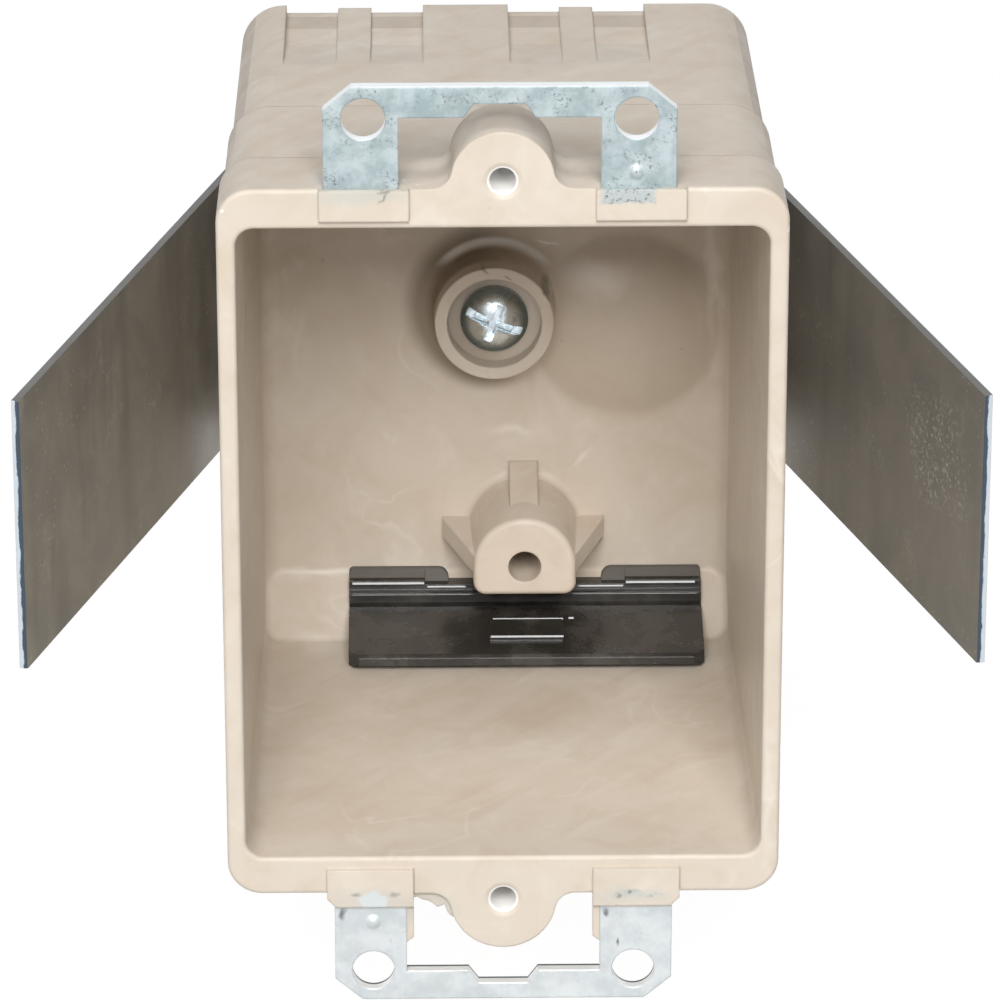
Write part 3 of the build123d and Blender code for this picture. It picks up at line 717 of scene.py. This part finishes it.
@dataclass(frozen=True)
class SpringSteelFinish:
    """Dark oiled spring strip with rolling marks, scratches, bright sheared edges and painted
    shade towards its right wing.
    """

    base: Colour = opaque(0.315, 0.295, 0.258)
    warm: Colour = opaque(0.400, 0.362, 0.305)
    deep: Colour = opaque(0.215, 0.208, 0.188)
    scratch: Colour = opaque(0.80, 0.77, 0.68)
    edge: Colour = opaque(0.58, 0.63, 0.68)
    edge_dark: Colour = opaque(0.055, 0.08, 0.11)
    side_edge: Colour = opaque(0.15, 0.15, 0.145)
    lip: float = 51.87 * MM
    lip_blur: float = 0.06 * MM
    lip_wander: float = 0.12 * MM
    edge_radius: float = 0.1 * MM
    worn_patch: Mark = Mark(47.6, 4.5, 6.0, 6.0, y=17.0, deep=8.0, blur=0.6)

    def material(self) -> bpy.types.Material:
        """Makes the material.

        Returns:
            The material.
        """
        g = Graph("spring_strip")
        clouds = g.noise(110, detail=7, roughness=0.68, distortion=0.8)
        rolled = g.noise(1.0, detail=5, at=g.stretched((95, 95, 16)))
        colour = g.mix(g.span(clouds, 0.36, 0.64), self.base, self.warm)
        colour = g.mix(g.span(rolled, 0.50, 0.70, 0.0, 0.65), colour, self.deep)
        # painted shade: darker towards +x, so the right wing is darker than the left
        colour = g.mix(g.span(g.x, -20 * MM, 20 * MM, 0.0, 0.3), colour, self.deep)
        wire = g.noise(260, detail=3, distortion=1.6)
        hair_field = g.noise(140, detail=3)
        hair = g.times(g.span(g.apart(wire, 0.5), 0.012, 0.002), g.span(hair_field, 0.54, 0.64))
        dust = g.cells(800)
        dust_field = g.noise(38, detail=4)
        patch = g.near(self.worn_patch, g.warped(150, 2 * MM))
        grit = g.span(g.noise(1500, detail=5, roughness=0.8), 0.54, 0.60)
        dots = g.times(g.span(dust, 0.17, 0.06), g.span(dust_field, 0.46, 0.62, 0.0, 0.7))
        worn = g.math("MAXIMUM", g.times(grit, patch), dots)
        marks = g.math("MAXIMUM", g.times(hair, 0.4), worn)
        colour = g.mix(g.times(marks, 0.75), colour, self.scratch)
        cut = g.noise(1.0, detail=5, roughness=0.7, at=g.stretched((900, 900, 260)))
        wander = g.span(cut, 0.3, 0.7, -self.lip_wander, self.lip_wander)
        inner = g.math("ADD", g.math("ABSOLUTE", g.x), wander)
        lip = g.span(inner, self.lip + self.lip_blur, self.lip - self.lip_blur)
        edge_colour = g.mix(lip, self.edge, self.edge_dark)
        edge_y = g.span(g.math("ABSOLUTE", g.facing_y), 0.8, 0.9)
        at_tip = g.span(g.y, 12 * MM, 6 * MM)
        sheared = g.times(edge_y, at_tip)
        colour = g.mix(g.span(g.math("ABSOLUTE", g.facing_z), 0.6, 0.9), colour, self.side_edge)
        colour = g.mix(sheared, colour, edge_colour)
        normal = g.bump(clouds, 0.05 * MM, 0.4, g.soft_edges(self.edge_radius))
        g.set(Base_Color=colour, Normal=normal,
              Roughness=g.span(clouds, 0.3, 0.7, 0.40, 0.54))
        g.shader.inputs["Metallic"].default_value = 0.5
        return g.material


@dataclass(frozen=True)
class ZincFinish:
    """Bright zinc plate with faint wear and a painted dark reflection round the head's rim."""

    base: Colour = opaque(0.78, 0.86, 0.91)
    worn: Colour = opaque(0.47, 0.53, 0.57)
    # painted dark reflection colour
    dark_rim_reflection: Colour = opaque(0.20, 0.27, 0.29)
    axis_x: float = -0.2 * MM
    axis_z: float = 3.6 * MM

    def material(self) -> bpy.types.Material:
        """Makes the material.

        Returns:
            The material.
        """
        g = Graph("zinc_plate")
        wear = g.noise(700, detail=5, roughness=0.65)
        colour = g.mix(g.span(wear, 0.45, 0.7), self.base, self.worn)
        out = g.length(g.math("SUBTRACT", g.x, self.axis_x), g.math("SUBTRACT", g.z, self.axis_z))
        # painted dark reflection round the head's rim
        colour = g.mix(g.span(out, 2.6 * MM, 3.6 * MM, 0.0, 0.8), colour, self.dark_rim_reflection)
        normal = g.bump(wear, 0.02 * MM, 0.5, g.soft_edges(0.18 * MM))
        g.set(Base_Color=colour, Normal=normal,
              Roughness=g.span(wear, 0.35, 0.7, 0.16, 0.34))
        g.shader.inputs["Metallic"].default_value = 1.0
        return g.material


@dataclass(frozen=True)
class ClampFinish:
    """Dark moulded plastic with a little dust."""

    name: str = "black_rail"
    smooth: float = 0.10
    rough: float = 0.20
    seat: float = 61.95 * MM
    matte: Colour = opaque(0.11, 0.103, 0.088)
    base: Colour = opaque(0.025, 0.0232, 0.0205)
    dusty: Colour = opaque(0.072, 0.066, 0.057)
    pale: Colour = opaque(0.28, 0.26, 0.23)
    edge_radius: float = 0.2 * MM

    def material(self) -> bpy.types.Material:
        """Makes the material.

        Returns:
            The material.
        """
        g = Graph(self.name)
        dust = g.noise(200, detail=3, roughness=0.6)
        scuffs = g.noise(1.0, detail=4, distortion=1.5, at=g.stretched((160, 160, 900)))
        colour = g.mix(g.span(dust, 0.40, 0.72, 0.0, 0.7), self.base, self.dusty)
        colour = g.mix(g.span(scuffs, 0.66, 0.74, 0.0, 0.3), colour, self.dusty)
        specks = g.cells(900)
        speck_field = g.noise(120, detail=3)
        dots = g.times(g.span(specks, 0.14, 0.05), g.span(speck_field, 0.52, 0.66))
        colour = g.mix(g.times(dots, 0.35), colour, self.pale)
        seated = g.span(g.y, self.seat, self.seat + 0.05 * MM)
        colour = g.mix(seated, colour, self.matte)
        shine = g.span(dust, 0.3, 0.7, self.smooth, self.rough)
        normal = g.bump(dust, 0.03 * MM, 0.4, g.soft_edges(self.edge_radius))
        g.set(Base_Color=colour, Normal=normal,
              Roughness=g.math("ADD", shine, g.times(seated, 0.6)))
        g.shader.inputs["Specular IOR Level"].default_value = 0.6
        return g.material


LOWER_EAR = GalvanisedFinish(
    name="galvanised_bottom",
    base=opaque(0.57, 0.61, 0.62),
    light=opaque(0.68, 0.71, 0.72),
    # painted highlight on the fronts of the sheared edges, painted dark reflection on their rear
    # parts
    edge=opaque(0.92, 0.93, 0.93),
    edge_rear=opaque(0.10, 0.12, 0.12),
    speck_share=0.25,
    speck_spread=0.07,
    stains=(
        Mark(-17.7, -43.2, 0.35, 0.6, blur=0.7, strength=0.8),
        Mark(11.25, -43.3, 0.3, 0.55, blur=0.7, strength=0.8),
        Mark(12.6, -46.8, 0.14, 0.45, blur=0.5, strength=0.8),
        Mark(-4.8, -50.3, 1.3, 0.3, blur=0.8, strength=0.35),
    ),
)


def dress(node: bpy.types.Object, material: bpy.types.Material) -> None:
    """Gives a piece its material.

    Args:
        node: The piece.
        material: Its material.
    """
    node.data.materials.clear()
    node.data.materials.append(material)


def add_mesh(name: str, mesh: bmesh.types.BMesh) -> bpy.types.Object:
    """Makes an object of a finished mesh.

    Args:
        name: The object's name.
        mesh: The mesh, which is freed.

    Returns:
        The object, linked to the scene.
    """
    data = bpy.data.meshes.new(name)
    mesh.to_mesh(data)
    mesh.free()
    made = bpy.data.objects.new(name, data)
    bpy.context.scene.collection.objects.link(made)
    return made


@dataclass
class MouldedShell:
    """The moulding and the thin torn flash beside its lower lug."""

    node: bpy.types.Object
    finish: ResinFinish
    web: tuple[tuple[float, float], ...] = (
        (-10.2, -41.55), (-9.77, -41.59), (-9.41, -41.51), (-8.81, -41.85), (-8.33, -41.94),
        (-7.73, -42.26), (-7.21, -42.75), (-6.83, -42.62), (-6.41, -42.46), (-6.11, -43.36),
        (-5.81, -43.75), (-5.09, -44.21), (-4.8, -44.3), (-4.8, -42.8), (-5.8, -41.5),
        (-7.0, -41.0), (-10.2, -41.0),
    )
    web_front: float = 0.5
    web_back: float = 0.72

    def build(self) -> None:
        """Dresses the moulding and adds the flash."""
        material = self.finish.material()
        dress(self.node, material)
        mesh = bmesh.new()
        front = [mesh.verts.new((x * MM, self.web_front * MM, z * MM)) for x, z in self.web]
        back = [mesh.verts.new((x * MM, self.web_back * MM, z * MM)) for x, z in self.web]
        mesh.faces.new(front)
        mesh.faces.new(list(reversed(back)))
        for place in range(len(front)):
            beside = (place + 1) % len(front)
            mesh.faces.new((front[beside], front[place], back[place], back[beside]))
        bmesh.ops.recalc_face_normals(mesh, faces=mesh.faces[:])
        web = add_mesh("flash_web", mesh)
        dress(web, material)
        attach(web, Body.BOX.value)


@dataclass
class MountingEars:
    """The two stamped steel ears."""

    top: bpy.types.Object
    bottom: bpy.types.Object
    top_finish: GalvanisedFinish
    bottom_finish: GalvanisedFinish

    def build(self) -> None:
        """Dresses the ears."""
        dress(self.top, self.top_finish.material())
        dress(self.bottom, self.bottom_finish.material())


@dataclass
class WingBracket:
    """The folded wing bracket."""

    node: bpy.types.Object
    finish: SpringSteelFinish

    def build(self) -> None:
        """Dresses the bracket."""
        dress(self.node, self.finish.material())


@dataclass
class BracketScrew:
    """The long screw: its head as imported, and a shank with a real thread."""

    node: bpy.types.Object
    finish: ZincFinish
    seat: float = 59.8 * MM
    axis_x: float = -0.2 * MM
    axis_z: float = 3.6 * MM
    crest: float = 2.07 * MM
    root: float = 1.66 * MM
    pitch: float = 0.79375 * MM
    length: float = 31.75 * MM
    flank: float = 0.42
    around: int = 28
    per_pitch: int = 8
    run_out: float = 1.2 * MM
    point: float = 0.6 * MM

    def radius(self, depth: float, turn: float) -> float:
        """The shank's radius at a depth and an angle.

        Args:
            depth: The distance from the seat.
            turn: The angle as a share of a turn.

        Returns:
            The radius.
        """
        phase = (depth / self.pitch - turn) % 1.0
        groove = max(0.0, 1.0 - abs(phase - 0.5) / self.flank)
        growth = min(1.0, max(0.0, depth - self.run_out) / self.pitch)
        full = self.crest - (self.crest - self.root) * groove * growth
        left = self.length - depth
        return min(full, self.crest - self.point + left) if left < self.point else full

    def build(self) -> bpy.types.Object:
        """Builds the screw in place of the plain one.

        Returns:
            The screw.
        """
        mesh = bmesh.new()
        mesh.from_mesh(self.node.data)
        shank = [vert for vert in mesh.verts if vert.co.y > self.seat + 0.05 * MM]
        bmesh.ops.delete(mesh, geom=shank, context="VERTS")
        for face in mesh.faces:
            face.smooth = False
        rings = []
        count = round(self.length / self.pitch * self.per_pitch)
        for step in range(count + 1):
            depth = self.length * step / count
            ring = []
            for place in range(self.around):
                turn = place / self.around
                angle = 2 * math.pi * turn
                r = self.radius(depth, turn)
                ring.append(mesh.verts.new((self.axis_x + r * math.cos(angle), self.seat + depth,
                                            self.axis_z - r * math.sin(angle))))
            rings.append(ring)
        for near, far in zip(rings, rings[1:]):
            for place in range(self.around):
                beside = (place + 1) % self.around
                face = mesh.faces.new((near[place], near[beside], far[beside], far[place]))
                face.smooth = True
        mesh.faces.new(rings[-1])
        bmesh.ops.recalc_face_normals(mesh, faces=[f for f in mesh.faces if f.smooth])
        screw = add_mesh("threaded_screw", mesh)
        dress(screw, self.finish.material())
        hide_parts("bracket_screw")
        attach(screw, Body.SCREW.value)
        return screw


@dataclass(frozen=True)
class Bead:
    """A narrow square bead along the width of a clamp, one face to the light, in millimetres."""

    left: float
    right: float
    depth: float
    height: float
    radius: float


@dataclass
class CableClamps:
    """The rails and flaps of the two cable clamps, with their moulded beads."""

    rails: list[bpy.types.Object]
    flaps: list[bpy.types.Object]
    rail_finish: ClampFinish
    flap_finish: ClampFinish
    bead_finish: ClampFinish
    rail_beads: tuple[Bead, ...] = (
        Bead(-16.9, -8.45, 61.05, -30.36, 0.29),
        Bead(-8.1, 14.95, 61.05, -30.80, 0.26),
        Bead(15.25, 23.4, 61.05, -30.36, 0.29),
        Bead(-16.9, 23.6, 60.05, -31.36, 0.18),
    )
    flap_beads: tuple[Bead, ...] = (
        Bead(-0.45, 7.75, 55.72, -32.75, 0.17),
        Bead(8.4, 9.0, 55.72, -32.65, 0.17),
        Bead(-0.75, 7.75, 51.80, -33.24, 0.17),
    )
    tilt: float = math.radians(13.0)

    def build(self) -> None:
        """Dresses the clamps and adds their beads."""
        rail_material = self.rail_finish.material()
        bead_material = self.bead_finish.material()
        flap_material = self.flap_finish.material()
        for node in self.rails:
            dress(node, rail_material)
        for node in self.flaps:
            dress(node, flap_material)
        ends = (("lower", 0.0, Body.LOWER_FLAP), ("upper", math.pi, Body.UPPER_FLAP))
        for name, turn, body in ends:
            rail = self.beads(f"{name}_rail_beads", self.rail_beads, turn)
            dress(rail, bead_material)
            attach(rail, Body.BOX.value)
            flap = self.beads(f"{name}_flap_beads", self.flap_beads, turn)
            dress(flap, bead_material)
            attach(flap, body.value)

    def beads(self, name: str, beads: tuple[Bead, ...], turn: float) -> bpy.types.Object:
        """Makes one object of several narrow beads.

        Args:
            name: The object's name.
            beads: The beads, as they lie on the lower clamp.
            turn: A turn about the box's axis, in radians.

        Returns:
            The object.
        """
        mesh = bmesh.new()
        for bead in beads:
            matrix = (Matrix.Translation(((bead.left + bead.right) / 2 * MM, bead.depth * MM,
                                          bead.height * MM))
                      @ Matrix.Rotation(math.pi / 2, 4, "Y")
                      @ Matrix.Rotation(self.tilt, 4, "Z"))
            bmesh.ops.create_cone(mesh, cap_ends=True, segments=4,
                                  radius1=bead.radius * MM, radius2=bead.radius * MM,
                                  depth=(bead.right - bead.left) * MM, matrix=matrix)
        bmesh.ops.transform(mesh, matrix=Matrix.Rotation(turn, 4, "Y"), verts=mesh.verts[:])
        return add_mesh(name, mesh)


@dataclass(frozen=True)
class Lamp:
    """One soft rectangular light that looks at the box, in degrees, watts and metres."""

    name: str
    elevation: float
    azimuth: float
    power: float
    wide: float = 0.9
    high: float = 0.39


@dataclass
class Studio:
    """White surroundings, soft lights and the camera."""

    focal_px: float = 6282.8
    distance: float = 670.97 * MM
    yaw: float = math.radians(0.739)
    roll: float = math.radians(0.05)
    pitch: float = math.radians(22.7)
    shift_x: float = 0.321 * MM
    shift_z: float = -5.246 * MM
    picture_px: float = 1000.0
    sensor: float = 36.0
    floor_z: float = -60.0 * MM
    ambient: float = 0.02
    reach: float = 1.8
    aim: tuple[float, float, float] = (0.0, 0.03, 0.0)
    white: Colour = opaque(1.0, 1.0, 1.0)
    sky: Colour = opaque(0.97, 0.985, 1.0)
    floor_colour: Colour = opaque(0.8, 0.8, 0.8)
    floor_half: float = 4.0
    floor_glow: float = 1.06
    floor_share: float = 0.08
    near_clip: float = 0.01
    far_clip: float = 20.0
    lamps: tuple[Lamp, ...] = (
        Lamp("front", 30.0, 0.0, 16.6),
        Lamp("upper", 42.0, 0.0, 13.8),
        Lamp("top", 66.0, -20.0, 9.0),
        Lamp("left", 30.0, -35.0, 1.8),
    )

    def build(self) -> None:
        """Makes the world, floor, lights and camera."""
        self.world()
        self.floor()
        for lamp in self.lamps:
            self.light(lamp)
        self.camera()
        bpy.context.scene.view_settings.view_transform = "Standard"

    def world(self) -> None:
        """Makes a world that the camera sees as white and that lights softly."""
        world = bpy.data.worlds.new("white_world")
        bpy.context.scene.world = world
        world.use_nodes = True
        tree = world.node_tree
        tree.nodes.clear()
        output = tree.nodes.new("ShaderNodeOutputWorld")
        seen = tree.nodes.new("ShaderNodeBackground")
        seen.inputs["Strength"].default_value = 1.0
        lit = tree.nodes.new("ShaderNodeBackground")
        lit.inputs["Color"].default_value = self.sky
        lit.inputs["Strength"].default_value = self.ambient
        seen.inputs["Color"].default_value = self.white
        mix = tree.nodes.new("ShaderNodeMixShader")
        tree.links.new(self.in_sight(tree), mix.inputs[0])
        tree.links.new(lit.outputs[0], mix.inputs[1])
        tree.links.new(seen.outputs[0], mix.inputs[2])
        tree.links.new(mix.outputs[0], output.inputs["Surface"])

    def in_sight(self, tree: bpy.types.NodeTree) -> Socket:
        """A mask of what the camera sees, directly or in a reflection.

        Args:
            tree: The nodes it is added to.

        Returns:
            The mask.
        """
        path = tree.nodes.new("ShaderNodeLightPath")
        either = tree.nodes.new("ShaderNodeMath")
        either.operation = "MAXIMUM"
        tree.links.new(path.outputs["Is Camera Ray"], either.inputs[0])
        tree.links.new(path.outputs["Is Glossy Ray"], either.inputs[1])
        return either.outputs[0]

    def floor(self) -> None:
        """Makes a pale floor that is seen as white and keeps a faint shadow."""
        mesh = bmesh.new()
        bmesh.ops.create_grid(mesh, x_segments=1, y_segments=1, size=self.floor_half)
        floor = add_mesh("floor", mesh)
        floor.location.z = self.floor_z
        material = bpy.data.materials.new("pale_floor")
        material.use_nodes = True
        tree = material.node_tree
        tree.nodes.clear()
        output = tree.nodes.new("ShaderNodeOutputMaterial")
        matt = tree.nodes.new("ShaderNodeBsdfDiffuse")
        matt.inputs["Color"].default_value = self.floor_colour
        white = tree.nodes.new("ShaderNodeEmission")
        white.inputs["Color"].default_value = self.white
        white.inputs["Strength"].default_value = self.floor_glow
        seen = tree.nodes.new("ShaderNodeMixShader")
        seen.inputs[0].default_value = self.floor_share
        tree.links.new(white.outputs[0], seen.inputs[1])
        tree.links.new(matt.outputs[0], seen.inputs[2])
        mix = tree.nodes.new("ShaderNodeMixShader")
        tree.links.new(self.in_sight(tree), mix.inputs[0])
        tree.links.new(matt.outputs[0], mix.inputs[1])
        tree.links.new(seen.outputs[0], mix.inputs[2])
        tree.links.new(mix.outputs[0], output.inputs["Surface"])
        floor.data.materials.append(material)

    def light(self, lamp: Lamp) -> None:
        """Adds one light.

        Args:
            lamp: Its place, size and power.
        """
        data = bpy.data.lights.new(lamp.name, "AREA")
        data.shape = "RECTANGLE"
        data.size = lamp.wide
        data.size_y = lamp.high
        data.energy = lamp.power
        rise = math.radians(lamp.elevation)
        swing = math.radians(lamp.azimuth)
        away = Vector((math.sin(swing) * math.cos(rise), -math.cos(swing) * math.cos(rise),
                       math.sin(rise)))
        made = bpy.data.objects.new(lamp.name, data)
        made.location = Vector(self.aim) + self.reach * away
        made.rotation_euler = (-away).to_track_quat("-Z", "Y").to_euler()
        bpy.context.scene.collection.objects.link(made)

    def camera(self) -> None:
        """Makes the camera at the place that was fitted to the photograph."""
        right = Vector((math.cos(self.yaw), -math.sin(self.yaw), 0.0))
        ahead = Vector((math.sin(self.yaw) * math.cos(self.pitch),
                        math.cos(self.yaw) * math.cos(self.pitch), -math.sin(self.pitch)))
        up = right.cross(ahead)
        place = -self.shift_x * right - self.shift_z * up - self.distance * ahead
        across = right * math.cos(self.roll) - up * math.sin(self.roll)
        above = right * math.sin(self.roll) + up * math.cos(self.roll)
        turned = Matrix((across, above, -ahead)).transposed()
        data = bpy.data.cameras.new("camera")
        data.sensor_width = self.sensor
        data.lens = self.focal_px / self.picture_px * self.sensor
        data.clip_start = self.near_clip
        data.clip_end = self.far_clip
        camera = bpy.data.objects.new("camera", data)
        camera.matrix_world = Matrix.Translation(place) @ turned.to_4x4()
        bpy.context.scene.collection.objects.link(camera)
        bpy.context.scene.camera = camera


def main() -> None:
    """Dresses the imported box."""
    logging.basicConfig(level=logging.INFO, format="%(name)s: %(message)s")
    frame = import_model()
    nodes = frame["nodes"]
    assemblies = [
        MouldedShell(nodes["box_body"], ResinFinish()),
        MountingEars(nodes["top_ear"], nodes["bottom_ear"], GalvanisedFinish(), LOWER_EAR),
        WingBracket(nodes["wing_bracket"], SpringSteelFinish()),
        BracketScrew(nodes["bracket_screw"], ZincFinish()),
        CableClamps([nodes["upper_clamp"], nodes["lower_clamp"]],
                    [nodes["upper_clamp_flap"], nodes["lower_clamp_flap"]],
                    ClampFinish(), ClampFinish("black_flap", 0.18, 0.32),
                    ClampFinish("black_bead", 0.05, 0.14, edge_radius=0.03 * MM)),
    ]
    for assembly in assemblies:
        LOG.info("building %s", type(assembly).__name__)
        assembly.build()
    Studio().build()


if __name__ == "__main__":
    main()
